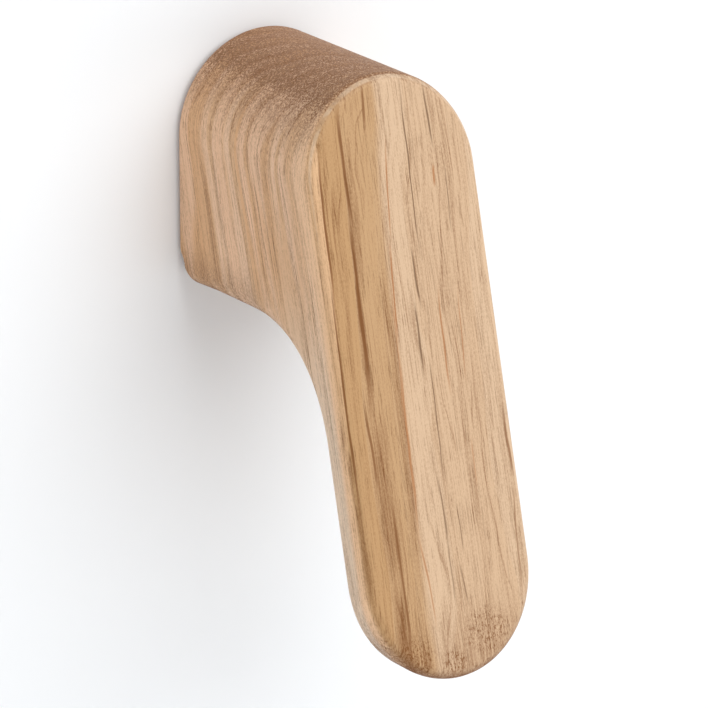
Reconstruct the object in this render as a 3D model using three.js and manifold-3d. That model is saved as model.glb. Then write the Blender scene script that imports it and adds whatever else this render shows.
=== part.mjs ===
// A solid oak door pull. A thick round-topped head stands off the door, and a flat tongue hangs from its
// front and leans outwards, so that fingers fit behind it. Two brass inserts in the head's back face take
// two M4 screws that come through the door leaf, each with a washer.
//
// Millimetres, +Z up. The door's front surface is the plane y = 0 and the pull stands on its -Y side.
// The origin is the centre of the head's back face, midway between the two screws.
import * as THREE from 'three';
import { mergeVertices } from 'three/addons/utils/BufferGeometryUtils.js';
import Module from 'manifold-3d';

const wasm = await Module();
wasm.setup();

// ---- the oak handle
const WIDTH = 30;
const LENGTH = 88.7; // top of the head to the tip of the tongue
const BACK_FACE_HEIGHT = 38; // flat face against the door
const HEAD_DEPTH = 37.6; // back face to front face, level with the origin
const FACE_LEAN = THREE.MathUtils.degToRad(14.5); // the front face leans out towards its lower end
const TONGUE_THICKNESS = 7.35; // square to the front face
const UNDERSIDE_DEPTH = 19; // flat part of the head's underside, out from the door
const SCOOP_DROP = 15.8; // height of the hollow curve from the underside to the back of the tongue
const SCOOP_EASE_TOP = 9; // how far the curve keeps the underside's direction
const SCOOP_EASE_BOTTOM = 11.8; // how far it keeps the tongue's direction
const FRONT_EDGE_RADIUS = 1.4;
const DOOR_EDGE_RADIUS = 1.2;
const BACK_EDGE_RADIUS = 3.4; // side edges of the underside, the scoop and the tongue's back
const TIP_EDGE_RADIUS = 1.9; // back edge round the tongue's tip
const HEEL_RADIUS = 3.6; // where the underside meets the back face; more than BACK_EDGE_RADIUS
const HEEL_END = THREE.MathUtils.degToRad(20); // the heel's curve stops this far short of upright

// ---- the fixings
const SCREW_SPACING = 16; // centre to centre, one above the other
const DOOR_LEAF = 18; // thickness of the door that the screws pass through
const INSERT = { length: 10, recess: 0.5, crestRadius: 4, rootRadius: 3.3, pitch: 2, boreRadius: 2.25 };
const INSERT_SLOT = { width: 1.2, depth: 1.6 };
const PILOT_BORE = { radius: 4.3, depth: 14, pointDepth: 2 };
const WASHER = { radius: 4.5, thickness: 0.8, boreRadius: 2.25 };
const SCREW = { length: 25, shankRadius: 1.95, headRadius: 4, headHeight: 3.1, pointLength: 0.8 };
const CROSS_RECESS = { span: 4.6, width: 0.9, depth: 1.9 };
const CLEARANCE = 0.3; // between a screw head and its washer

// ---- derived
const END_RADIUS = WIDTH / 2;
const TOP_CENTRE_Z = BACK_FACE_HEIGHT / 2 - END_RADIUS;
const TIP_CENTRE_Z = TOP_CENTRE_Z + 2 * END_RADIUS - LENGTH;
const UNDERSIDE_Z = -BACK_FACE_HEIGHT / 2;
const LEAN_SLOPE = Math.tan(FACE_LEAN);
const BEYOND = 60; // cutting shapes run this far past the wood

const ARC_SEGMENTS = 16;
const EDGE_SEGMENTS = 4;
const TURNED_SEGMENTS = 32;

// ---- helpers

function toSolid(geometry) {
  const plain = geometry.clone();
  plain.deleteAttribute('normal');
  plain.deleteAttribute('uv');
  const merged = mergeVertices(plain, 1e-5);
  return new wasm.Manifold(new wasm.Mesh({
    numProp: 3,
    vertProperties: new Float32Array(merged.attributes.position.array),
    triVerts: new Uint32Array(merged.index.array),
  }));
}

function toGeometry(solid) {
  const mesh = solid.getMesh();
  const geometry = new THREE.BufferGeometry();
  geometry.setAttribute('position', new THREE.BufferAttribute(new Float32Array(mesh.vertProperties), 3));
  geometry.setIndex(new THREE.BufferAttribute(new Uint32Array(mesh.triVerts), 1));
  geometry.computeVertexNormals();
  return geometry;
}

// An outline extruded from z = 0 to z = height, with both ends rounded over inside the outline.
function roundedExtrusion(shape, height, radius, radiusAlong = radius) {
  const geometry = new THREE.ExtrudeGeometry(shape, {
    depth: height - 2 * radiusAlong,
    bevelThickness: radiusAlong,
    bevelSize: radius,
    bevelOffset: -radius,
    bevelSegments: EDGE_SEGMENTS,
    curveSegments: ARC_SEGMENTS,
  });
  return geometry.translate(0, 0, radiusAlong);
}

// A turned body with its axis along Y. The outline lists [radius, y] pairs.
function turned(outline) {
  const points = outline.map(([radius, y]) => new THREE.Vector2(radius, y));
  return new THREE.LatheGeometry(points, TURNED_SEGMENTS);
}

// ---- the oak handle

// The handle seen from the front: straight sides and a half circle at each end.
function frontOutline() {
  const shape = new THREE.Shape();
  shape.absarc(0, TOP_CENTRE_Z, END_RADIUS, 0, Math.PI);
  shape.absarc(0, TIP_CENTRE_Z, END_RADIUS, Math.PI, 2 * Math.PI);
  shape.closePath();
  return shape;
}

// How far out from the door the tongue's back face lies at a height.
function tongueBackY(z) {
  return -HEAD_DEPTH + TONGUE_THICKNESS / Math.cos(FACE_LEAN) + LEAN_SLOPE * z;
}

// The wood's side of the heel, the underside, the scoop and the tongue's back, as [y, z] in side view.
// The heel's curve runs on past the back face as a straight flare, so that the rounding of its side
// edges fades out up the back face.
function sideOutline() {
  const scoopEndZ = UNDERSIDE_Z - SCOOP_DROP;
  const scoopEndY = tongueBackY(scoopEndZ);
  const lowestZ = TIP_CENTRE_Z - BEYOND;
  const shape = new THREE.Shape();
  const heelCentreZ = UNDERSIDE_Z + HEEL_RADIUS;
  const flareTopZ = TOP_CENTRE_Z;
  const flareTopY = (flareTopZ - heelCentreZ) * Math.tan(HEEL_END);
  shape.moveTo(BEYOND, UNDERSIDE_Z + BEYOND);
  shape.lineTo(-2 * BEYOND, UNDERSIDE_Z + BEYOND);
  shape.lineTo(-2 * BEYOND, lowestZ);
  shape.lineTo(tongueBackY(lowestZ), lowestZ);
  shape.lineTo(scoopEndY, scoopEndZ);
  shape.bezierCurveTo(
    scoopEndY + SCOOP_EASE_BOTTOM * Math.sin(FACE_LEAN),
    scoopEndZ + SCOOP_EASE_BOTTOM * Math.cos(FACE_LEAN),
    -UNDERSIDE_DEPTH - SCOOP_EASE_TOP,
    UNDERSIDE_Z,
    -UNDERSIDE_DEPTH,
    UNDERSIDE_Z,
  );
  shape.absarc(-HEEL_RADIUS, heelCentreZ, HEEL_RADIUS, -Math.PI / 2, -HEEL_END);
  shape.lineTo(flareTopY, flareTopZ);
  shape.lineTo(BEYOND, flareTopZ);
  shape.closePath();
  return shape;
}

// The front outline extruded along Y from yFront to yBack, then sheared to lean with the front face.
function leaningSlab(yFront, yBack, radius) {
  const slab = roundedExtrusion(frontOutline(), yBack - yFront, radius, radius / Math.cos(FACE_LEAN));
  slab.rotateX(Math.PI / 2).translate(0, yBack, 0);
  const lean = new THREE.Matrix4().set(1, 0, 0, 0, 0, 1, LEAN_SLOPE, 0, 0, 0, 1, 0, 0, 0, 0, 1);
  return slab.applyMatrix4(lean);
}

function pilotBore(z) {
  const { radius, depth, pointDepth } = PILOT_BORE;
  const outline = [[0, -depth - pointDepth], [radius, -depth], [radius, 1], [0, 1]];
  return turned(outline).translate(0, 0, z);
}

function oakHandle() {
  const front = toSolid(leaningSlab(-HEAD_DEPTH, BEYOND, FRONT_EDGE_RADIUS));

  const againstDoor = roundedExtrusion(frontOutline(), 2 * BEYOND, DOOR_EDGE_RADIUS);
  const doorSide = toSolid(againstDoor.rotateX(Math.PI / 2));

  const profile = roundedExtrusion(sideOutline(), WIDTH, BACK_EDGE_RADIUS).translate(0, 0, -WIDTH / 2);
  const yzx = new THREE.Matrix4().makeBasis(
    new THREE.Vector3(0, 1, 0),
    new THREE.Vector3(0, 0, 1),
    new THREE.Vector3(1, 0, 0),
  );
  const side = toSolid(profile.applyMatrix4(yzx));

  // the tip's back edge is rounded too; above the tip's centre this shape leaves the wood alone
  const tip = toSolid(leaningSlab(-2 * BEYOND, tongueBackY(0), TIP_EDGE_RADIUS));
  const above = new THREE.BoxGeometry(2 * WIDTH, 4 * BEYOND, 2 * BEYOND);
  const roundedTip = tip.add(toSolid(above.translate(0, 0, TIP_CENTRE_Z + BEYOND)));

  let wood = front.intersect(doorSide).intersect(side).intersect(roundedTip);
  for (const z of [SCREW_SPACING / 2, -SCREW_SPACING / 2]) {
    wood = wood.subtract(toSolid(pilotBore(z)));
  }
  return toGeometry(wood);
}

// ---- the fixings

// A screw-in insert: coarse ridges outside, a bore for the screw and a driver slot across its open end.
function threadedInsert() {
  const { length, recess, crestRadius, rootRadius, pitch, boreRadius } = INSERT;
  const open = -recess;
  const inner = -recess - length;
  const outline = [[boreRadius, open], [boreRadius, inner], [rootRadius, inner]];
  for (let y = inner + pitch / 2; y < open - pitch / 2; y += pitch) {
    outline.push([rootRadius, y], [crestRadius, y + 0.35 * pitch]);
    outline.push([crestRadius, y + 0.5 * pitch], [rootRadius, y + 0.85 * pitch]);
  }
  outline.push([rootRadius, open], [boreRadius, open]);
  const slot = new THREE.BoxGeometry(4 * crestRadius, 2 * INSERT_SLOT.depth, INSERT_SLOT.width);
  return toGeometry(toSolid(turned(outline)).subtract(toSolid(slot.translate(0, open, 0))));
}

function washer() {
  const { radius, thickness, boreRadius } = WASHER;
  const outline = [[boreRadius, 0], [radius, 0], [radius, thickness], [boreRadius, thickness], [boreRadius, 0]];
  return turned(outline).translate(0, DOOR_LEAF, 0);
}

// A pan-head machine screw with a cross recess; its head's seat is at y = 0 and it points along -Y.
function panHeadScrew() {
  const { length, shankRadius, headRadius, headHeight, pointLength } = SCREW;
  const outline = [[0, -length], [shankRadius - pointLength / 2, -length]];
  outline.push([shankRadius, -length + pointLength], [shankRadius, 0], [headRadius, 0]);
  const sideHeight = 0.35 * headHeight;
  const crownSteps = 6;
  for (let i = 0; i <= crownSteps; i += 1) {
    const angle = (i / crownSteps) * (Math.PI / 2);
    const radius = i < crownSteps ? headRadius * Math.cos(angle) ** 0.5 : 0;
    outline.push([radius, sideHeight + (headHeight - sideHeight) * Math.sin(angle)]);
  }
  let screw = toSolid(turned(outline));
  for (const turn of [0, Math.PI / 2]) {
    const wing = new THREE.BoxGeometry(CROSS_RECESS.span, 2 * CROSS_RECESS.depth, CROSS_RECESS.width);
    screw = screw.subtract(toSolid(wing.rotateY(turn).translate(0, headHeight, 0)));
  }
  const seat = DOOR_LEAF + WASHER.thickness + CLEARANCE;
  return toGeometry(screw).translate(0, seat, 0);
}

// ---- assembly

const oak = { color: 0xc8a27a, roughness: 0.62, metalness: 0 };
const brass = { color: 0xb8934a, roughness: 0.35, metalness: 1 };
const zincPlate = { color: 0xb9bcc0, roughness: 0.32, metalness: 1 };

function addPart(group, name, geometry, finish, z) {
  const mesh = new THREE.Mesh(geometry, new THREE.MeshStandardMaterial(finish));
  mesh.name = name;
  mesh.position.z = z;
  group.add(mesh);
}

const doorPull = new THREE.Group();
addPart(doorPull, 'oak_handle', oakHandle(), oak, 0);
const screwPlaces = [['upper', SCREW_SPACING / 2], ['lower', -SCREW_SPACING / 2]];
for (const [place, z] of screwPlaces) {
  addPart(doorPull, `threaded_insert_${place}`, threadedInsert(), brass, z);
  addPart(doorPull, `washer_${place}`, washer(), zincPlate, z);
  addPart(doorPull, `mounting_screw_${place}`, panHeadScrew(), zincPlate, z);
}

export default doorPull;
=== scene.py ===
"""An oak door pull on a pale door face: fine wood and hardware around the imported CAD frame.

Metres, +Z up. The door's front surface is the plane y = 0 and the pull stands on its -Y side.
"""
import math

import bmesh
import bpy
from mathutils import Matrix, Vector


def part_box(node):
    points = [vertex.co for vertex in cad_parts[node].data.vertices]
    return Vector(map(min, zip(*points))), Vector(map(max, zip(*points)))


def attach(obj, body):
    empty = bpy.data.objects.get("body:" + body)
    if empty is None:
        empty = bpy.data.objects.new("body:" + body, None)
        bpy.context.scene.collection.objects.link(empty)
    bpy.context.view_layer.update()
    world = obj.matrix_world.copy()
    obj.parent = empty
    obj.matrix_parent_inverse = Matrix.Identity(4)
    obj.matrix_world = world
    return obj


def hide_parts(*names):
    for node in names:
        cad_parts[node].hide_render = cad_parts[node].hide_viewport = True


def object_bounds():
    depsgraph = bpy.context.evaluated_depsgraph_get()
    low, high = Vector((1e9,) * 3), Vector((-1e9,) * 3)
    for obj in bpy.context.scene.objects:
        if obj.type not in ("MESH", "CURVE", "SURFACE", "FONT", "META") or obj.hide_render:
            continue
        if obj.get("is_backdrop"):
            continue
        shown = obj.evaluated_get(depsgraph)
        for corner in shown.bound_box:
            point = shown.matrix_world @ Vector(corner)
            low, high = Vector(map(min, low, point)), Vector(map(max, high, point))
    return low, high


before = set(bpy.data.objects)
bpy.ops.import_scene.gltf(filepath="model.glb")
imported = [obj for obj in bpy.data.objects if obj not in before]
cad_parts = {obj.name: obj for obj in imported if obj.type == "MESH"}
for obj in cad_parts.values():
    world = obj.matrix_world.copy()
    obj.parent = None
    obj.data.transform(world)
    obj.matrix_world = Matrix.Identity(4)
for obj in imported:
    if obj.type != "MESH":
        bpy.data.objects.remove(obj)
cad_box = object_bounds()

MM = 0.001

# ---- the oak handle, sized from its CAD node
low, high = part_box("oak_handle")
END_RADIUS = high.x
TOP_CENTRE_Z = high.z - END_RADIUS
TIP_CENTRE_Z = low.z + END_RADIUS
UNDERSIDE_Z = -high.z
FACE_LEAN = math.radians(14.5)
LEAN_SLOPE = math.tan(FACE_LEAN)
HEAD_DEPTH = 37.6 * MM
TONGUE_THICKNESS = 7.35 * MM
UNDERSIDE_DEPTH = 19 * MM
SCOOP_DROP = 15.8 * MM
SCOOP_EASE_TOP = 9 * MM
SCOOP_EASE_BOTTOM = 11.8 * MM
HEEL_RADIUS = 3.6 * MM
HEEL_END = math.radians(20)
FRONT_EDGE_RADIUS = 1.4 * MM
TIP_EDGE_RADIUS = 2.1 * MM
DOOR_EDGE_RADIUS = 1.2 * MM
HEEL_EDGE_RADIUS = 2.6 * MM
BACK_EDGE_RADIUS = 3.4 * MM
DOOR_EDGE_FADE = 2.4 * MM
UNDERSIDE_FADE = 6 * MM
ARC_STEPS = 64
TIP_FADE_STEPS = 20
SCOOP_STEPS = 32
HEEL_STEPS = 8
FADE_STEPS = 8
EDGE_STEPS = 8

# ---- the fixings, whose axes lie along Y at these heights
SCREW_HEIGHTS = {"upper": 8 * MM, "lower": -8 * MM}
PILOT_BORE = {"radius": 4.3 * MM, "depth": 14 * MM, "point": 2 * MM}
INSERT = {"crest": 4 * MM, "root": 3.3 * MM, "pitch": 2 * MM, "bore": 2.25 * MM, "bore_crest": 2.06 * MM}
INSERT_SLOT = {"width": 1.2 * MM, "depth": 1.6 * MM}
SCREW = {"crest": 1.95 * MM, "root": 1.56 * MM, "head": 4 * MM, "head_height": 3.1 * MM, "point": 0.8 * MM}
M4_PITCH = 0.7 * MM
WOOD_THREAD_STEPS = 14
M4_THREAD_STEPS = 8
CROSS_RECESS = {"reach": 2.3 * MM, "half_width": 0.45 * MM, "depth": 1.9 * MM, "taper": 0.5}
ROUND_STEPS = 48

# ---- the camera: a long lens, from the left and above
CAMERA_AZIMUTH = math.radians(-34.05)
CAMERA_ELEVATION = math.radians(18.58)
CAMERA_DISTANCE = 0.955
CAMERA_LENS = 310.4
CAMERA_TARGET = Vector((17.5, 0, -37)) * MM

# ---- the stage and its light
DOOR_FACE_X = 0.12
DOOR_FACE_TOP = 0.06
DOOR_GAP = 0.3 * MM
DOOR_OPENING_INSET = 1.8 * MM
DOOR_OPENING_DROP = 0.3 * MM
FLOOR_Z = -0.15
FLOOR_REACH = 8
PALE_PAINT = (0.885, 0.9, 0.915, 1)
SKY_STRENGTH = 0.45
KEY_PLACE = Vector((0.9, -1.6, 2.2))
KEY_SIZE = 4
KEY_WATTS = 111


# ---- shader helpers

class Nodes:
    """Short ways to add nodes to one material."""

    def __init__(self, name):
        self.material = bpy.data.materials.new(name)
        self.material.use_nodes = True
        self.tree = self.material.node_tree
        self.tree.nodes.clear()

    def add(self, kind, *inputs, **settings):
        """A node with its inputs in order, each a number, a tuple or a socket."""
        node = self.tree.nodes.new(kind)
        for name, value in settings.items():
            setattr(node, name, value)
        for socket, value in zip([s for s in node.inputs if s.enabled], inputs):
            self.feed(socket, value)
        return node

    def feed(self, socket, value):
        if isinstance(value, bpy.types.NodeSocket):
            self.tree.links.new(value, socket)
        else:
            socket.default_value = value

    def math(self, operation, *inputs, clamp=False):
        return self.add("ShaderNodeMath", *inputs, operation=operation, use_clamp=clamp).outputs[0]

    def total(self, *terms):
        """The sum of several values."""
        result = terms[0]
        for term in terms[1:]:
            result = self.math("ADD", result, term)
        return result

    def times(self, a, b):
        return self.math("MULTIPLY", a, b)

    def around(self, noise, swing):
        """A noise value, which keeps near 0.5, spread out to run from -swing to swing."""
        return self.step(noise, 0.32, 0.68, -swing, swing)

    def combine(self, x, y, z):
        return self.add("ShaderNodeCombineXYZ", x, y, z).outputs[0]

    def stretched(self, vector, x, y, z):
        """The vector with each part multiplied, to make a texture long one way."""
        return self.add("ShaderNodeVectorMath", vector, (x, y, z), operation="MULTIPLY").outputs[0]

    def noise(self, vector, scale=1.0, detail=2.0, roughness=0.5):
        node = self.add("ShaderNodeTexNoise")
        self.feed(node.inputs["Vector"], vector)
        node.inputs["Scale"].default_value = scale
        node.inputs["Detail"].default_value = detail
        node.inputs["Roughness"].default_value = roughness
        return node.outputs["Fac"]

    def cells(self, vector):
        """Distance to the nearest scattered point, and one random value for that point."""
        node = self.add("ShaderNodeTexVoronoi")
        self.feed(node.inputs["Vector"], vector)
        node.inputs["Scale"].default_value = 1.0
        split = self.add("ShaderNodeSeparateColor", node.outputs["Color"])
        return node.outputs["Distance"], split.outputs[0]

    def step(self, value, start, end, low=0.0, high=1.0):
        """value eased from low at start to high at end."""
        node = self.add("ShaderNodeMapRange", value, start, end, low, high, interpolation_type="SMOOTHSTEP")
        return node.outputs[0]

    def mix(self, share, a, b):
        """Colour a going over to colour b as share goes from 0 to 1."""
        node = self.add("ShaderNodeMix", data_type="RGBA")
        for name, value in (("Factor_Float", share), ("A_Color", a), ("B_Color", b)):
            socket = next(s for s in node.inputs if s.identifier == name)
            self.feed(socket, value)
        return next(s for s in node.outputs if s.identifier == "Result_Color")

    def surface(self, colour, roughness, normal=None, **constants):
        """The Principled surface. Constants are set on its own sockets."""
        shader = self.add("ShaderNodeBsdfPrincipled")
        self.feed(shader.inputs["Base Color"], colour)
        self.feed(shader.inputs["Roughness"], roughness)
        if normal is not None:
            self.feed(shader.inputs["Normal"], normal)
        for name, value in constants.items():
            shader.inputs[name.replace("_", " ")].default_value = value
        output = self.add("ShaderNodeOutputMaterial")
        self.tree.links.new(shader.outputs[0], output.inputs["Surface"])
        return self.material

    def bump(self, height, distance):
        """A normal that makes a height of 1 stand up by distance."""
        node = self.add("ShaderNodeBump")
        self.feed(node.inputs["Height"], height)
        node.inputs["Distance"].default_value = distance
        return node.outputs[0]


# ---- oak
#
# The wood is described in millimetres in three directions: across the face, depth behind the front
# face, and along the grain, which runs up the leaning front face. Growth rings are slanted layers
# RING_SPACING apart. Rays are thin sheets square to the rings.

RING_SPACING = 5.3
RING_START = -3.0
RING_DEPTH_SLANT = 1.5
RING_DRIFT = -0.035
RAY_DEPTH_SLANT = -0.67

GOLDEN = (0.47, 0.268, 0.115, 1)
BEIGE = (0.60, 0.405, 0.25, 1)
SIDE_BROWN = (0.69, 0.40, 0.205, 1)
SIDE_PINK = (0.80, 0.51, 0.32, 1)
HONEY = (0.92, 0.60, 0.36, 1)
PAINTED_LIGHT_PINK = (0.78, 0.585, 0.42, 1)
END_BROWN = (0.225, 0.108, 0.05, 1)
UMBER = (0.19, 0.068, 0.012, 1)
RUST = (0.36, 0.12, 0.02, 1)
SLATE = (0.17, 0.09, 0.04, 1)
CREAM = (0.80, 0.63, 0.46, 1)

# pores: width and length
LONG_PORE = (0.24, 9.0)
SHORT_PORE = (0.34, 4.0)
# cells that each hold one ray: thickness, depth, length
RAY_CELL = (1.7, 30, 60)
# how far each noise lightens and darkens the wood
STRIPE_SWINGS = {"broad": 0.06, "narrow": 0.10, "fine": 0.14, "grit": 0.18}
# how much each kind of figure darkens the wood
EARLY_WOOD_DARK = 0.08
PORE_DARK = 0.24
END_PORE_DARK = 0.35
CONTOUR_DARK = 0.30
RAY_DARK = 0.32
SPECKLE_DARK = 0.62
TIP_DARK = 0.28
OVERALL_DARK = 0.06
# the swirl on the left of the head: across, along, the two radii, how far it pushes the rings aside
SWIRL = (-6.2, 0.5, 3.4, 6.5, 0.9)

# thin figure lines on the front face: across and along at the upper end, the same at the lower end,
# half width, strength. A separate script turned points picked in the reference picture into these
# places, and the widths and strengths were set by hand.
UMBER_LINES = (
    (-12.5, 3, -13.7, -24, 0.30, 0.95),
    (-8.2, 9, -8.6, -14, 0.44, 0.9),
    (-8.6, -6, -9.7, -40, 0.52, 1.0),
    (-10.7, -36, -10.5, -52, 0.32, 0.8),
    (-8.6, -50, -8.7, -78, 0.30, 0.8),
    (-10.2, -66, -9.1, -76, 0.22, 0.6),
    (-3.6, 10, -4.0, 2, 0.32, 0.75),
    (-13.7, -14, -14.3, -58, 0.26, 0.9),
    (13.3, -42, 13.5, -54, 0.30, 0.75),
    (13.4, -52, 12.3, -72, 0.20, 0.6),
)
RUST_LINES = (
    (-0.5, 2, -2.2, -16, 0.18, 0.7),
    (-2.2, -13, -3.5, -31, 0.24, 0.75),
    (-3.5, -28, -4.5, -61, 0.26, 0.65),
    (-4.5, -57, -3.6, -74, 0.18, 0.6),
    (-3.1, -18, -4.4, -44, 0.16, 0.5),
    (7.0, -4, 6.9, -8, 0.30, 0.7),
    (5.0, -21, 4.4, -40, 0.22, 0.65),
    (8.4, -22, 7.3, -38, 0.14, 0.6),
    (7.2, -45, 7.0, -54, 0.14, 0.55),
)
SLATE_LINES = (
    (3.2, 11, 2.6, -20, 0.17, 0.9),
    (1.1, -15, 1.4, -26, 0.22, 0.8),
    (0.6, -23, 0.1, -36, 0.26, 0.85),
    (1.6, -31, 1.1, -53, 0.17, 0.75),
    (0.1, -49, 0.5, -62, 0.20, 0.7),
    (0.5, -59, 0.1, -70, 0.18, 0.65),
    (2.8, -54, 3.0, -63, 0.15, 0.6),
    (2.0, -63, 2.7, -71, 0.18, 0.65),
    (7.4, 9, 7.3, -3, 0.20, 0.8),
    (9.2, -3, 8.5, -16, 0.13, 0.6),
)
LINE_REACH = 5.0

# warm dark bands: across at the upper and lower end, along at both, half width, strength
DARK_BANDS = (
    (-7.6, 4, -8.4, -26, 1.1, 0.34),
    (-9.0, -14, -9.9, -46, 0.9, 0.30),
    (-8.9, -36, -9.8, -68, 2.1, 0.42),
    (-9.4, -62, -9.4, -84, 1.6, 0.34),
    (-11.5, 2, -12.2, -60, 0.8, 0.14),
    (-4.0, -12, -5.4, -70, 1.0, 0.28),
    (-1.8, 4, -3.6, -34, 0.5, 0.18),
    (9.8, 2, 9.0, -40, 1.2, 0.07),
    (5.6, -4, 4.6, -44, 0.5, 0.10),
)

# patches where the fibres dive under and the pores show as speckle: across, along, the two radii,
# strength
SPECKLE_PATCHES = (
    (5.2, -74.5, 4.6, 3.8, 0.9),
    (-1.4, -78.2, 2.4, 2.2, 0.9),
    (-7.6, -76.2, 3.2, 3.2, 0.9),
    (8.6, -3.6, 3.0, 2.6, 0.3),
)

# the paler strip along the left of the face, and how far down the tongue's side the painted light runs: the
# side painted paler further from the head
STRIP_EDGE = -12.6
STRIP_LEAN = 0.036
PAINTED_LIGHT_FROM = -14
PAINTED_LIGHT_TO = -44
TIP_SHADE_START = -66
TIP_SHADE_END = -80


def line_share(n, wood, upper_x, upper_g, lower_x, lower_g, half_width, strength):
    """How strongly one slim tapering line darkens a point, from 0 to strength."""
    slope = (upper_x - lower_x) / (upper_g - lower_g)
    here = n.math("MULTIPLY_ADD", wood["along"], slope, upper_x - slope * upper_g)
    offset = n.math("ABSOLUTE", n.math("SUBTRACT", wood["ray"], here))
    middle = (upper_g + lower_g) / 2
    half_length = (upper_g - lower_g) / 2
    reach = n.math("ABSOLUTE", n.math("MULTIPLY_ADD", wood["along"], 1 / half_length, -middle / half_length))
    taper = n.step(reach, 1.0, 0.35, 0.0, strength)
    edge = n.step(offset, half_width, 0.25 * half_width)
    return n.times(edge, taper)


def strongest(n, shares):
    result = shares[0]
    for share in shares[1:]:
        result = n.math("MAXIMUM", result, share)
    return result


def patch_share(n, wood, x, g, x_radius, g_radius, strength):
    """The strength inside a soft-edged oval on the face, 0 outside it."""
    dx = n.math("MULTIPLY_ADD", wood["across"], 1 / x_radius, -x / x_radius)
    dg = n.math("MULTIPLY_ADD", wood["along"], 1 / g_radius, -g / g_radius)
    square = n.total(n.times(dx, dx), n.times(dg, dg))
    return n.step(square, 1.3, 0.2, 0.0, strength)


def end_grain_share(n, depth):
    """1 where the fibres meet the surface end on, 0 along them, and about half low down at the back."""
    place = n.add("ShaderNodeTexCoord")
    facing = n.add("ShaderNodeVectorMath", place.outputs["Normal"], operation="DOT_PRODUCT")
    facing.inputs[1].default_value = (0, math.sin(FACE_LEAN), math.cos(FACE_LEAN))
    end_on = n.step(n.math("ABSOLUTE", facing.outputs["Value"]), 0.16, 0.84)
    z = n.add("ShaderNodeSeparateXYZ", place.outputs["Object"]).outputs[2]
    low_down = n.step(z, UNDERSIDE_Z + 8 * MM, UNDERSIDE_Z + 2 * MM, 0.0, 0.55)
    return n.math("MAXIMUM", end_on, n.times(low_down, n.step(depth, 14, 22)))


def wood_directions(n):
    """Sockets for a point's place in the wood, in millimetres."""
    place = n.add("ShaderNodeTexCoord")
    to_grain = n.add("ShaderNodeMapping", place.outputs["Object"])
    to_grain.inputs["Scale"].default_value = (1 / MM, 1 / MM, 1 / MM)
    to_grain.inputs["Rotation"].default_value = (FACE_LEAN, 0, 0)
    to_grain.inputs["Location"].default_value = (0, HEAD_DEPTH / MM * math.cos(FACE_LEAN), 0)
    grain = to_grain.outputs[0]
    across, depth, along = n.add("ShaderNodeSeparateXYZ", grain).outputs
    sway = n.total(
        n.around(n.noise(n.stretched(grain, 0.08, 0.08, 0.018)), 1.6),
        n.around(n.noise(n.stretched(grain, 0.45, 0.45, 0.05)), 0.16),
    )
    swirl = patch_share(n, {"across": across, "along": along}, *SWIRL)
    swayed = n.total(across, sway, swirl)
    ring = n.total(swayed, n.times(along, RING_DRIFT), n.times(depth, RING_DEPTH_SLANT))
    tangent = n.math("MULTIPLY_ADD", swayed, RING_DEPTH_SLANT, n.times(depth, -1))
    ripple = n.around(n.noise(n.stretched(grain, 0.3, 0.3, 0.07)), 0.16)
    ray = n.total(across, n.times(depth, RAY_DEPTH_SLANT), ripple)
    return {"grain": grain, "across": across, "depth": depth, "along": along, "ring": ring, "ray": ray,
            "layers": n.combine(ring, tangent, along), "end_grain": end_grain_share(n, depth)}


def pore_share(n, wood, width, length, early):
    """Vessel lines on long grain and dots on end grain, crowded where early is high."""
    distance, chance = n.cells(n.stretched(wood["grain"], 1 / width, 1 / width, 1 / length))
    open_pore = n.step(distance, 0.36, 0.14)
    kept = n.step(n.math("SUBTRACT", n.math("MULTIPLY_ADD", early, 0.5, 0.28), chance), -0.02, 0.06)
    return n.times(open_pore, kept)


def arris_share(n):
    """1 along the middle of the front face's rounded edge, 0 on the flats beside it."""
    place = n.stretched(n.add("ShaderNodeTexCoord").outputs["Object"], 1 / MM, 1 / MM, 1 / MM)
    x, y, z = n.add("ShaderNodeSeparateXYZ", place).outputs
    above = n.math("MAXIMUM", n.math("SUBTRACT", z, TOP_CENTRE_Z / MM), 0)
    below = n.math("MAXIMUM", n.math("SUBTRACT", TIP_CENTRE_Z / MM, z), 0)
    past = n.math("ADD", above, below)
    from_middle = n.math("SQRT", n.total(n.times(x, x), n.times(past, past)))
    inset = n.math("SUBTRACT", END_RADIUS / MM, from_middle)
    behind = n.math("MULTIPLY_ADD", z, -LEAN_SLOPE, n.math("ADD", y, HEAD_DEPTH / MM))
    radius = FRONT_EDGE_RADIUS / MM
    near_side = n.math("MULTIPLY_ADD", inset, -1 / radius, 1.0, clamp=True)
    near_front = n.math("MULTIPLY_ADD", behind, -1 / radius, 1.0, clamp=True)
    return n.step(n.times(near_side, near_front), 0.41, 0.49)


def door_contact_shadow_share(n):
    """A painted contact shadow: a fine dark line on the rounding just in front of the door, but not on the
    back face.
    """
    place = n.add("ShaderNodeTexCoord")
    y = n.add("ShaderNodeSeparateXYZ", place.outputs["Object"]).outputs[1]
    facing_door = n.add("ShaderNodeSeparateXYZ", place.outputs["Normal"]).outputs[1]
    return n.times(n.step(y, -0.8 * MM, -0.1 * MM, 0.0, 0.6), n.step(facing_door, 0.99, 0.9))


def growth_rings(n, wood):
    """The crowded early wood of each ring, and one random value for its year."""
    turn = n.math("MULTIPLY_ADD", wood["ring"], 1 / RING_SPACING, -RING_START / RING_SPACING)
    phase = n.math("FRACT", turn)
    year = n.noise(n.combine(n.math("FLOOR", turn), 0.37, 0.81), scale=3.7, detail=0.0)
    early = n.times(n.step(phase, 0.0, 0.08), n.step(phase, 0.6, 0.12))
    return early, year


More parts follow.
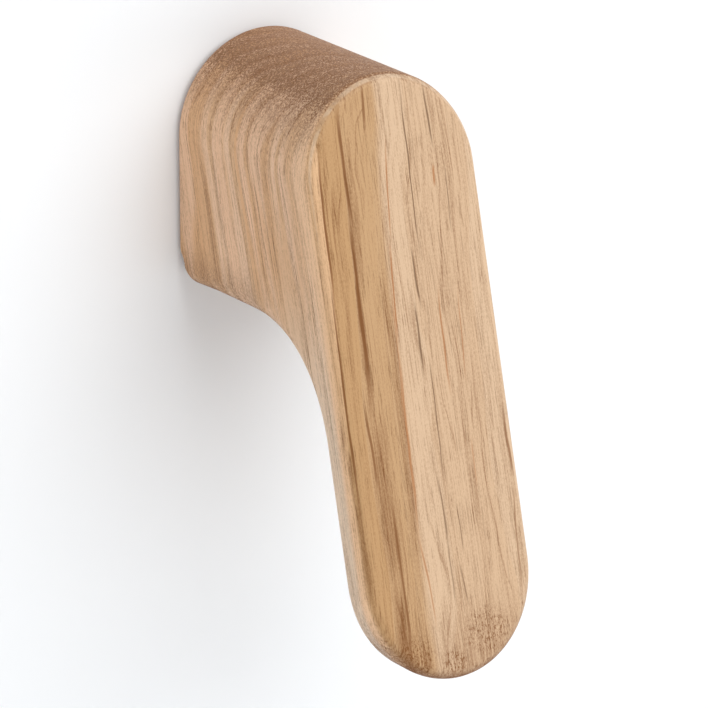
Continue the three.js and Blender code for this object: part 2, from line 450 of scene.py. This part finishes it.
def wood_noises(n, wood):
    """Noises for the figure: three that follow the rings, then fibre, grit and two mottles."""
    grain = wood["grain"]
    layers = wood["layers"]
    return {
        "broad": n.noise(n.stretched(layers, 0.7, 0.05, 0.012), detail=1.0),
        "narrow": n.noise(n.stretched(layers, 1.7, 0.12, 0.028), detail=2.0),
        "slow": n.noise(n.stretched(layers, 0.42, 0.04, 0.010), detail=1.0),
        "fine": n.noise(n.stretched(grain, 4.6, 4.6, 0.11), detail=1.0),
        "grit": n.noise(n.stretched(grain, 5.5, 5.5, 2.2), detail=2.0, roughness=0.8),
        "mottle": n.noise(n.stretched(grain, 3.2, 3.2, 2.6), detail=2.0, roughness=0.85),
        "squiggle": n.noise(n.stretched(grain, 2.6, 2.6, 1.4), detail=2.0, roughness=0.85),
    }


def face_colour(n, wood):
    """Golden wood on the left of the front face and beige wood on the right."""
    drift = n.around(n.noise(n.stretched(wood["grain"], 0.12, 0.12, 0.03)), 0.6)
    zone = n.step(n.total(wood["across"], n.times(wood["along"], RING_DRIFT), drift), -2.9, -1.2)
    return n.mix(zone, GOLDEN, BEIGE)


def side_colour(n, wood):
    """Brown and pink wood behind the face, honey coloured close to it."""
    blush = n.noise(n.stretched(wood["layers"], 0.24, 0.03, 0.02), detail=1.0)
    side = n.mix(n.step(blush, 0.42, 0.58), SIDE_BROWN, SIDE_PINK)
    return n.mix(n.step(wood["depth"], 6.5, 2.0, 0.0, 0.7), side, HONEY)


def ground_colour(n, wood, year):
    """The wood's colour before its figure: face, sides, painted light on the tongue's side and the paler
    years.
    """
    behind = n.step(wood["depth"], 0.35, 1.1)
    upright = n.math("MULTIPLY_ADD", wood["along"], -STRIP_LEAN, wood["across"])
    left_strip = n.step(upright, STRIP_EDGE, STRIP_EDGE - 0.3, 0.0, 0.5)
    colour = n.mix(n.math("MAXIMUM", behind, left_strip), face_colour(n, wood), side_colour(n, wood))
    # painted light: the tongue's side is painted paler further down, away from the shade near the head
    pale = n.times(n.step(wood["depth"], 1.4, 3.0), n.step(wood["along"], PAINTED_LIGHT_FROM, PAINTED_LIGHT_TO))
    colour = n.mix(pale, colour, PAINTED_LIGHT_PINK)
    return n.mix(n.step(year, 0.35, 0.65, 0.0, 0.16), colour, CREAM)


def contour_share(n, noises):
    """Thin dark lines that follow the rings and break where the narrow stripes are pale."""
    contour = n.math("ABSOLUTE", n.math("SUBTRACT", noises["slow"], 0.5))
    return n.times(n.step(contour, 0.020, 0.004), n.step(noises["narrow"], 0.40, 0.55))


def ray_share(n, wood):
    """Rays, which are slim dark spindles on the face."""
    thickness, depth, length = RAY_CELL
    radial = n.total(wood["depth"], n.times(wood["across"], -RAY_DEPTH_SLANT))
    sheet = n.combine(n.times(wood["ray"], 1 / thickness), n.times(radial, 1 / depth),
                      n.times(wood["along"], 1 / length))
    distance, chance = n.cells(sheet)
    return n.times(n.step(distance, 0.10, 0.02), n.step(chance, 0.4, 0.75))


def near_face(n, wood):
    """1 at the front face, fading to 0 at LINE_REACH behind it."""
    return n.step(wood["depth"], LINE_REACH, 1.5)


def face_lines(n, wood, lines):
    """The strongest of several lines at each point, near the front face only."""
    return n.times(strongest(n, [line_share(n, wood, *line) for line in lines]), near_face(n, wood))


def speckle_share(n, wood, noises):
    """Speckle where the fibres dive under the face."""
    patches = strongest(n, [patch_share(n, wood, *patch) for patch in SPECKLE_PATCHES])
    return n.times(n.times(patches, near_face(n, wood)), n.step(noises["squiggle"], 0.47, 0.62))


def end_colour_share(n, wood, noises, early):
    """How brown the end grain is: mottled, and strongest where the fibres meet the surface squarely."""
    squarely = n.step(wood["end_grain"], 0.88, 1.0, 0.68, 0.95)
    strength = n.total(squarely, n.times(early, 0.10), n.around(noises["mottle"], 0.46))
    return n.times(wood["end_grain"], strength)


def dark_share(n, wood, noises, early, pores):
    """How much all the fine figure together darkens a point, from 0 to 1."""
    dark = n.total(
        n.times(early, EARLY_WOOD_DARK),
        n.total(*[n.around(noises[name], swing) for name, swing in STRIPE_SWINGS.items()]),
        n.times(pores, PORE_DARK),
        n.times(n.times(pores, wood["end_grain"]), END_PORE_DARK),
        n.times(contour_share(n, noises), CONTOUR_DARK),
        n.times(ray_share(n, wood), RAY_DARK),
        face_lines(n, wood, DARK_BANDS),
        n.times(speckle_share(n, wood, noises), SPECKLE_DARK),
        n.step(wood["along"], TIP_SHADE_START, TIP_SHADE_END, 0.0, TIP_DARK),
    )
    return n.math("ADD", dark, OVERALL_DARK, clamp=True)


def oak_relief(n, wood, noises, pores):
    """The surface's height: pores are pits, and fibre, stripes and mottled end grain stand up."""
    end_mottle = n.times(noises["mottle"], wood["end_grain"])
    return n.total(n.times(pores, -0.7), n.times(noises["fine"], 0.5), n.times(noises["narrow"], 0.4),
                   n.times(noises["grit"], 0.3), n.times(end_mottle, 0.6))


def oak_material():
    n = Nodes("oiled_oak")
    wood = wood_directions(n)
    noises = wood_noises(n, wood)
    early, year = growth_rings(n, wood)
    pores = n.math("MAXIMUM", pore_share(n, wood, *LONG_PORE, early), pore_share(n, wood, *SHORT_PORE, early))

    colour = ground_colour(n, wood, year)
    colour = n.mix(end_colour_share(n, wood, noises, early), colour, END_BROWN)
    colour = n.mix(dark_share(n, wood, noises, early, pores), colour, UMBER)
    for lines, tint in ((UMBER_LINES, UMBER), (RUST_LINES, RUST), (SLATE_LINES, SLATE)):
        colour = n.mix(face_lines(n, wood, lines), colour, tint)

    # painted highlight: a pale line along the middle of the front face's rounded edge, here and there
    arris_highlight = n.times(arris_share(n), n.step(noises["broad"], 0.35, 0.6, 0.12, 0.36))
    colour = n.mix(arris_highlight, colour, CREAM)
    # painted contact shadow: a dark line on the rounding just in front of the door
    colour = n.mix(door_contact_shadow_share(n), colour, UMBER)

    relief = oak_relief(n, wood, noises, pores)
    roughness = n.total(0.46, n.around(noises["fine"], 0.05), n.times(pores, 0.2),
                        n.times(wood["end_grain"], 0.12))
    return n.surface(colour, roughness, n.bump(relief, 0.06 * MM), Specular_IOR_Level=0.3)


# ---- metals
#
# Both lie round the two screw axes, so their place is measured from the nearer one.

BRASS = (0.80, 0.59, 0.25, 1)
TARNISHED_BRASS = (0.60, 0.40, 0.16, 1)
BRASS_GRIME = (0.28, 0.20, 0.10, 1)
ZINC_BLUE = (0.58, 0.61, 0.66, 1)
ZINC_YELLOW = (0.66, 0.64, 0.57, 1)
ZINC_SPECK = (0.33, 0.33, 0.33, 1)


def metal_directions(n):
    """Distance from the nearer screw's axis and place along it, in millimetres, with the whole place."""
    place = n.add("ShaderNodeTexCoord")
    scaled = n.stretched(place.outputs["Object"], 1 / MM, 1 / MM, 1 / MM)
    x, y, z = n.add("ShaderNodeSeparateXYZ", scaled).outputs
    height = n.math("SUBTRACT", n.math("ABSOLUTE", z), SCREW_HEIGHTS["upper"] / MM)
    radius = n.math("SQRT", n.total(n.times(x, x), n.times(height, height)))
    return scaled, radius, y


def brass_material():
    n = Nodes("turned_brass")
    place, radius, y = metal_directions(n)
    tarnish = n.noise(place, scale=0.45, detail=4.0, roughness=0.6)
    grime = n.noise(place, scale=1.6, detail=3.0)
    tool_marks = n.noise(n.combine(n.times(radius, 9), n.times(y, 9), 0.5), detail=1.0)
    colour = n.mix(n.step(tarnish, 0.4, 0.7), BRASS, TARNISHED_BRASS)
    colour = n.mix(n.step(grime, 0.62, 0.8, 0.0, 0.5), colour, BRASS_GRIME)
    roughness = n.total(0.26, n.step(tarnish, 0.35, 0.75, 0.0, 0.16), n.around(tool_marks, 0.08))
    return n.surface(colour, roughness, n.bump(tool_marks, 0.012 * MM), Metallic=1.0)


def zinc_material():
    n = Nodes("zinc_plated_steel")
    place, radius, y = metal_directions(n)
    cloud = n.noise(place, scale=0.35, detail=3.0)
    speck = n.noise(place, scale=7.0, detail=3.0, roughness=0.65)
    drawn = n.noise(n.combine(n.times(radius, 7), n.times(y, 7), 2.5), detail=1.0)
    colour = n.mix(n.step(cloud, 0.38, 0.66), ZINC_BLUE, ZINC_YELLOW)
    colour = n.mix(n.step(speck, 0.62, 0.78, 0.0, 0.4), colour, ZINC_SPECK)
    roughness = n.total(0.27, n.step(cloud, 0.35, 0.7, 0.0, 0.10), n.around(speck, 0.10))
    height = n.total(n.times(drawn, 0.6), n.times(speck, 0.6))
    return n.surface(colour, roughness, n.bump(height, 0.01 * MM), Metallic=1.0)


# ---- mesh helpers

def mesh_object(name, build):
    """A new object whose mesh build(bm) makes."""
    bm = bmesh.new()
    build(bm)
    bmesh.ops.recalc_face_normals(bm, faces=bm.faces)
    mesh = bpy.data.meshes.new(name)
    bm.to_mesh(mesh)
    bm.free()
    made = bpy.data.objects.new(name, mesh)
    bpy.context.scene.collection.objects.link(made)
    return made


def apply_modifiers(thing):
    """Replaces the object's mesh with what its modifiers make of it."""
    graph = bpy.context.evaluated_depsgraph_get()
    mesh = bpy.data.meshes.new_from_object(thing.evaluated_get(graph))
    thing.modifiers.clear()
    thing.data = mesh


def subtract(thing, name, build):
    """Cuts from the object the solid that build(bm) makes."""
    tool = mesh_object(name, build)
    cut = thing.modifiers.new(name, "BOOLEAN")
    cut.operation = "DIFFERENCE"
    cut.object = tool
    apply_modifiers(thing)
    bpy.data.objects.remove(tool)


def smooth_shading(thing, sharpest):
    """Smooth faces that keep edges over the angle, with flat faces kept flat by their area."""
    thing.data.shade_smooth()
    thing.data.set_sharp_from_angle(angle=sharpest)
    flatten = thing.modifiers.new("flat faces", "WEIGHTED_NORMAL")
    flatten.keep_sharp = True
    apply_modifiers(thing)


def stand_for(piece, node, material):
    """Puts a fine piece in the place of its CAD node."""
    piece.data.materials.clear()
    piece.data.materials.append(material)
    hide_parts(node)
    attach(piece, "root")


def ring(radius_at, y, centre_z):
    """Points round a screw axis. radius_at(turn) gives the radius at a share of a full turn."""
    for i in range(ROUND_STEPS):
        turn = i / ROUND_STEPS
        radius = radius_at(turn)
        angle = 2 * math.pi * turn
        yield radius * math.cos(angle), y, centre_z + radius * math.sin(angle)


def plain_ring(radius, y, centre_z):
    if radius == 0:
        return [(0, y, centre_z)]
    return list(ring(lambda turn: radius, y, centre_z))


def shell(bm, rings, closed=False):
    """Skins rings of points one after another. A ring of one point is a pole."""
    made = [[bm.verts.new(point) for point in line] for line in rings]
    pairs = list(zip(made, made[1:]))
    if closed:
        pairs.append((made[-1], made[0]))
    for a, b in pairs:
        count = max(len(a), len(b))
        for i in range(count):
            j = (i + 1) % count
            corners = (a[i % len(a)], a[j % len(a)], b[j % len(b)], b[i % len(b)])
            bm.faces.new(list(dict.fromkeys(corners)))


def thread_rings(root, crest, pitch, y_start, y_end, centre_z, steps_per_turn, fade):
    """Rings of a helical thread from y_start to y_end. It fades out to the root over fade at each end."""
    count = round(abs(y_end - y_start) / pitch * steps_per_turn)
    for i in range(count + 1):
        y = y_start + (y_end - y_start) * i / count
        inside = min(abs(y - y_start), abs(y_end - y))
        depth = (crest - root) * min(1, inside / fade)

        def radius_at(turn, y=y, depth=depth):
            away = abs(2 * ((y / pitch + turn) % 1) - 1)
            return root + depth * min(1, max(0, (away - 0.15) / 0.7))

        yield list(ring(radius_at, y, centre_z))


# ---- the oak handle

def tongue_back_y(z):
    return -HEAD_DEPTH + TONGUE_THICKNESS / math.cos(FACE_LEAN) + LEAN_SLOPE * z


def front_y(z):
    return -HEAD_DEPTH + LEAN_SLOPE * z


def arc(centre_z, start, end, steps):
    """(x, z) points on a round end."""
    for i in range(steps + 1):
        angle = start + (end - start) * i / steps
        yield END_RADIUS * math.cos(angle), centre_z + END_RADIUS * math.sin(angle)


def heel():
    """(y, z) points from the back face round to the flat underside."""
    centre = Vector((-HEEL_RADIUS, UNDERSIDE_Z + HEEL_RADIUS))
    flare_start = centre + HEEL_RADIUS * Vector((math.cos(HEEL_END), -math.sin(HEEL_END)))
    yield Vector((0, flare_start.y - flare_start.x / math.tan(HEEL_END)))
    for i in range(HEEL_STEPS + 1):
        angle = HEEL_END + (math.pi / 2 - HEEL_END) * i / HEEL_STEPS
        yield centre + HEEL_RADIUS * Vector((math.cos(angle), -math.sin(angle)))


def underside():
    """(y, z) points along the flat just in front of the heel, where its side edges change radius."""
    for i in range(1, FADE_STEPS + 1):
        yield Vector((-HEEL_RADIUS - UNDERSIDE_FADE * i / FADE_STEPS, UNDERSIDE_Z))


def scoop():
    """(y, z) points from the underside's end down to the tongue's back, along one cubic curve."""
    end_z = UNDERSIDE_Z - SCOOP_DROP
    end_y = tongue_back_y(end_z)
    a = Vector((-UNDERSIDE_DEPTH, UNDERSIDE_Z))
    b = a + Vector((-SCOOP_EASE_TOP, 0))
    d = Vector((end_y, end_z))
    c = d + SCOOP_EASE_BOTTOM * Vector((math.sin(FACE_LEAN), math.cos(FACE_LEAN)))
    for i in range(SCOOP_STEPS + 1):
        t = i / SCOOP_STEPS
        u = 1 - t
        yield a * u ** 3 + b * 3 * u * u * t + c * 3 * u * t * t + d * t ** 3


def sharp_handle(bm):
    """The handle with sharp edges: every flat is one face, and every curve a strip of quads."""
    weight = bm.edges.layers.float.new("bevel_weight_edge")
    profile = [*heel(), *underside(), *scoop()]
    heel_top = profile[0].y
    fade = [heel_top + DOOR_EDGE_FADE * i / FADE_STEPS for i in range(FADE_STEPS, 0, -1)]
    top = list(arc(TOP_CENTRE_Z, 0, math.pi, ARC_STEPS))
    tip = list(arc(TIP_CENTRE_Z, math.pi, 2 * math.pi, ARC_STEPS))

    def vertex(x, y, z):
        return bm.verts.new((x, y, z))

    top_front = [vertex(x, front_y(z), z) for x, z in top]
    top_door = [vertex(x, 0, z) for x, z in top]
    tip_front = [vertex(x, front_y(z), z) for x, z in tip]
    tip_back = [vertex(x, tongue_back_y(z), z) for x, z in tip]
    above = {side: [vertex(side * END_RADIUS, 0, z) for z in fade] for side in (1, -1)}
    under = {side: [vertex(side * END_RADIUS, y, z) for y, z in profile] for side in (1, -1)}

    bm.faces.new(top_front + tip_front)
    bm.faces.new([*top_door, *above[-1], under[-1][0], under[1][0], *reversed(above[1])])
    for front, back in ((top_front, top_door), (tip_front, tip_back)):
        for i in range(ARC_STEPS):
            bm.faces.new((front[i + 1], front[i], back[i], back[i + 1]))
    for i in range(len(profile) - 1):
        bm.faces.new((under[1][i], under[1][i + 1], under[-1][i + 1], under[-1][i]))
    bm.faces.new([under[-1][-1], under[1][-1], *reversed(tip_back)])
    left_back = [*above[-1], *under[-1]]
    right_back = [*above[1], *under[1]]
    bm.faces.new([top_front[-1], top_door[-1], *left_back, tip_back[0], tip_front[0]])
    bm.faces.new([top_door[0], top_front[0], tip_front[-1], tip_back[-1], *reversed(right_back)])

    def weigh(line, radius, end_radius=None):
        """Marks a line of edges for rounding, with a radius that may ease to another one along it."""
        pairs = list(zip(line, line[1:]))
        for i, pair in enumerate(pairs):
            share = 0.5 - 0.5 * math.cos(math.pi * (i + 0.5) / len(pairs))
            here = radius if end_radius is None else radius + share * (end_radius - radius)
            bm.edges.get(pair)[weight] = here / BACK_EDGE_RADIUS

    weigh([tip_front[-1], *top_front, tip_front[0]], FRONT_EDGE_RADIUS)
    weigh(tip_front, TIP_EDGE_RADIUS)
    weigh([above[1][0], *top_door, above[-1][0]], DOOR_EDGE_RADIUS)
    weigh([under[-1][0], under[1][0]], HEEL_EDGE_RADIUS)
    weigh(tip_back[TIP_FADE_STEPS:-TIP_FADE_STEPS], TIP_EDGE_RADIUS)
    fade_end = HEEL_STEPS + 1 + FADE_STEPS
    for side, tip_edge in ((1, tip_back[::-1]), (-1, tip_back)):
        weigh([*above[side], under[side][0]], DOOR_EDGE_RADIUS, HEEL_EDGE_RADIUS)
        weigh(under[side][:HEEL_STEPS + 2], HEEL_EDGE_RADIUS)
        weigh(under[side][HEEL_STEPS + 1:fade_end + 1], HEEL_EDGE_RADIUS, BACK_EDGE_RADIUS)
        weigh([*under[side][fade_end:], tip_edge[0]], BACK_EDGE_RADIUS)
        weigh(tip_edge[:TIP_FADE_STEPS + 1], BACK_EDGE_RADIUS, TIP_EDGE_RADIUS)


def pilot_bores(bm):
    for centre_z in SCREW_HEIGHTS.values():
        bottom = -PILOT_BORE["depth"]
        outline = ((0, bottom - PILOT_BORE["point"]), (PILOT_BORE["radius"], bottom),
                   (PILOT_BORE["radius"], MM), (0, MM))
        shell(bm, [plain_ring(radius, y, centre_z) for radius, y in outline])


def make_handle(material):
    handle = mesh_object("oak_handle_fine", sharp_handle)
    rounding = handle.modifiers.new("rounded edges", "BEVEL")
    rounding.limit_method = "WEIGHT"
    rounding.width = BACK_EDGE_RADIUS
    rounding.segments = EDGE_STEPS
    rounding.use_clamp_overlap = False
    apply_modifiers(handle)
    subtract(handle, "pilot_bores", pilot_bores)
    smooth_shading(handle, sharpest=math.radians(35))
    stand_for(handle, "oak_handle", material)


# ---- the fixings

def make_insert(place, material):
    """A self-tapping insert: coarse wood thread outside, M4 thread in its bore, a slot for the driver."""
    node = f"threaded_insert_{place}"
    inner, opening = (corner.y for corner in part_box(node))
    centre_z = SCREW_HEIGHTS[place]
    lead = 0.3 * MM

    def body(bm):
        outside = thread_rings(INSERT["root"], INSERT["crest"], INSERT["pitch"], inner + lead, opening - lead,
                               centre_z, WOOD_THREAD_STEPS, INSERT["pitch"])
        bore = thread_rings(INSERT["bore"], INSERT["bore_crest"], M4_PITCH, opening - lead, inner + lead,
                            centre_z, M4_THREAD_STEPS, M4_PITCH)
        rings = [plain_ring(INSERT["root"] - lead, inner, centre_z), *outside,
                 plain_ring(INSERT["root"] - lead, opening, centre_z),
                 plain_ring(INSERT["bore"] + lead, opening, centre_z), *bore,
                 plain_ring(INSERT["bore"] + lead, inner, centre_z)]
        shell(bm, rings, closed=True)

    def slot(bm):
        half = INSERT_SLOT["width"] / 2
        floor = opening - INSERT_SLOT["depth"]
        reach = 2 * INSERT["crest"]
        outline = ((opening + MM, half), (floor + half / 2, half), (floor, half / 2),
                   (floor, -half / 2), (floor + half / 2, -half), (opening + MM, -half))
        shell(bm, [[(x, y, centre_z + z) for y, z in outline] for x in (-reach, reach)])
        for x in (-reach, reach):
            end = [vertex for vertex in bm.verts if vertex.co.x == x]
            bmesh.ops.contextual_create(bm, geom=end)

    insert = mesh_object(f"{node}_fine", body)
    subtract(insert, "driver_slot", slot)
    smooth_shading(insert, sharpest=math.radians(40))
    stand_for(insert, node, material)


def make_washer(place, material):
    """A punched washer: its top edges are drawn round and its bottom edges are crisp."""
    node = f"washer_{place}"
    corner_low, corner_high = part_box(node)
    bottom, top = corner_low.y, corner_high.y
    outer = corner_high.x
    inner = SCREW["crest"] + 0.3 * MM
    drawn = 0.22 * MM
    nick = 0.05 * MM
    quarter = [math.radians(angle) for angle in (0, 22.5, 45, 67.5, 90)]
    outside = [(outer - drawn + drawn * math.cos(a), top - drawn + drawn * math.sin(a)) for a in quarter]
    inside = [(inner + drawn - drawn * math.sin(a), top - drawn + drawn * math.cos(a)) for a in quarter]
    foot = [(inner, bottom + nick), (inner + nick, bottom), (outer - nick, bottom), (outer, bottom + nick)]

    def body(bm):
        rings = [plain_ring(radius, y, SCREW_HEIGHTS[place]) for radius, y in foot + outside + inside]
        shell(bm, rings, closed=True)

    made = mesh_object(f"{node}_fine", body)
    smooth_shading(made, sharpest=math.radians(50))
    stand_for(made, node, material)


def make_screw(place, material):
    """An M4 pan-head machine screw with a cross recess."""
    node = f"mounting_screw_{place}"
    corner_low, corner_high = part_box(node)
    point, crown = corner_low.y, corner_high.y
    seat = crown - SCREW["head_height"]
    centre_z = SCREW_HEIGHTS[place]
    plain_shank = 1.2 * MM
    edge = 0.25 * MM
    side_top = seat + 0.42 * SCREW["head_height"]
    crown_steps = 14

    def body(bm):
        end = SCREW["root"] - 0.5 * SCREW["point"]
        rings = [plain_ring(0, point, centre_z), plain_ring(end, point, centre_z)]
        rings += thread_rings(SCREW["root"], SCREW["crest"], M4_PITCH, point + 0.4 * SCREW["point"],
                              seat - plain_shank, centre_z, M4_THREAD_STEPS, SCREW["point"])
        for radius, y in ((SCREW["crest"] - 0.1 * MM, seat - 0.9 * plain_shank),
                          (SCREW["crest"] - 0.1 * MM, seat - edge), (SCREW["crest"] + 0.1 * MM, seat),
                          (SCREW["head"] - edge, seat), (SCREW["head"] - 0.3 * edge, seat + 0.3 * edge),
                          (SCREW["head"], seat + edge)):
            rings.append(plain_ring(radius, y, centre_z))
        for i in range(crown_steps + 1):
            angle = math.pi / 2 * i / crown_steps
            radius = SCREW["head"] * math.cos(angle) ** 0.5 if i < crown_steps else 0
            rings.append(plain_ring(radius, side_top + (crown - side_top) * math.sin(angle), centre_z))
        shell(bm, rings)

    def recess(bm):
        top = crown + MM
        floor = crown - CROSS_RECESS["depth"]
        rings = []
        for share in (-0.5, 0.0, 0.35, 0.7, 1.0):
            y = crown - share * CROSS_RECESS["depth"] if share >= 0 else top
            shrink = 1 - CROSS_RECESS["taper"] * max(0, share)
            reach = CROSS_RECESS["reach"] * shrink
            half = CROSS_RECESS["half_width"] * (0.5 + 0.5 * shrink)
            root = 1.35 * half
            arm = ((reach, -half), (reach, half), (root, half), (root, root), (half, root))
            outline = []
            for quarter in range(4):
                turn = quarter * math.pi / 2
                for x, z in arm:
                    outline.append((x * math.cos(turn) - z * math.sin(turn), y,
                                    centre_z + x * math.sin(turn) + z * math.cos(turn)))
            rings.append(outline)
        tip = [(0, floor - 0.35 * MM, centre_z)]
        shell(bm, [[(0, top, centre_z)], *rings, tip])

    screw = mesh_object(f"{node}_fine", body)
    subtract(screw, "cross_recess", recess)
    smooth_shading(screw, sharpest=math.radians(40))
    stand_for(screw, node, material)


# ---- the stage

def stage_mesh(name, build, material):
    made = mesh_object(name, build)
    made.data.materials.append(material)
    made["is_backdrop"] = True
    return made


def one_sided_paint():
    """Pale paint seen from the front only, so that the door face never hides the screws behind it."""
    n = Nodes("pale_door_paint")
    paint = n.add("ShaderNodeBsdfDiffuse", PALE_PAINT)
    clear = n.add("ShaderNodeBsdfTransparent")
    side = n.add("ShaderNodeNewGeometry")
    both = n.add("ShaderNodeMixShader", side.outputs["Backfacing"], paint.outputs[0], clear.outputs[0])
    n.tree.links.new(both.outputs[0], n.add("ShaderNodeOutputMaterial").inputs["Surface"])
    return n.material


def add_loop(bm, points):
    corners = [bm.verts.new(point) for point in points]
    return [bm.edges.new(pair) for pair in zip(corners, corners[1:] + corners[:1])]


def door_face(bm):
    """The door's front, open behind the handle so that light reaches the handle's back face."""
    y = DOOR_GAP
    left, right = -DOOR_FACE_X, DOOR_FACE_X
    outer = ((left, y, FLOOR_Z), (right, y, FLOOR_Z), (right, y, DOOR_FACE_TOP), (left, y, DOOR_FACE_TOP))
    reach = 1 - DOOR_OPENING_INSET / END_RADIUS
    opening = [(reach * x, y, TOP_CENTRE_Z + reach * (z - TOP_CENTRE_Z))
               for x, z in arc(TOP_CENTRE_Z, 0, math.pi, ARC_STEPS)]
    sill_z = UNDERSIDE_Z + HEEL_RADIUS - DOOR_OPENING_DROP
    opening += [(-reach * END_RADIUS, y, sill_z), (reach * END_RADIUS, y, sill_z)]
    edges = add_loop(bm, outer) + add_loop(bm, opening)
    bmesh.ops.triangle_fill(bm, use_beauty=True, edges=edges)


def floor(bm):
    corners = ((-1, -1), (1, -1), (1, 1), (-1, 1))
    bm.faces.new([bm.verts.new((FLOOR_REACH * x, FLOOR_REACH * y, FLOOR_Z)) for x, y in corners])


def make_stage():
    wall = stage_mesh("stage_door_face", door_face, one_sided_paint())
    if wall.data.polygons[0].normal.y > 0:
        wall.data.flip_normals()
    stage_mesh("stage_floor", floor, Nodes("pale_floor").surface(PALE_PAINT, 0.8))


def make_camera():
    camera = bpy.data.objects.new("camera", bpy.data.cameras.new("camera"))
    bpy.context.scene.collection.objects.link(camera)
    level = math.cos(CAMERA_ELEVATION)
    away = Vector((math.sin(CAMERA_AZIMUTH) * level, -math.cos(CAMERA_AZIMUTH) * level,
                   math.sin(CAMERA_ELEVATION)))
    camera.location = CAMERA_TARGET + CAMERA_DISTANCE * away
    camera.rotation_mode = "QUATERNION"
    camera.rotation_quaternion = (-away).to_track_quat("-Z", "Y")
    camera.data.lens = CAMERA_LENS
    camera.data.clip_start = 0.01
    bpy.context.scene.camera = camera


def make_lights():
    world = bpy.data.worlds.new("studio")
    world.use_nodes = True
    bpy.context.scene.world = world
    background = world.node_tree.nodes["Background"]
    background.inputs["Color"].default_value = (1, 1, 1, 1)
    background.inputs["Strength"].default_value = SKY_STRENGTH
    lamp = bpy.data.lights.new("key", "AREA")
    lamp.energy = KEY_WATTS
    lamp.size = KEY_SIZE
    key = bpy.data.objects.new("key", lamp)
    bpy.context.scene.collection.objects.link(key)
    key.location = KEY_PLACE
    key.rotation_mode = "QUATERNION"
    key.rotation_quaternion = KEY_PLACE.to_track_quat("Z", "Y")


make_handle(oak_material())
brass = brass_material()
zinc = zinc_material()
for place in SCREW_HEIGHTS:
    make_insert(place, brass)
    make_washer(place, zinc)
    make_screw(place, zinc)
make_stage()
make_camera()
make_lights()
bpy.context.scene.view_settings.view_transform = "Standard"

boxes = {"cad": cad_box, "visual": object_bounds()}
{name: [list(corner) for corner in box] for name, box in boxes.items()}
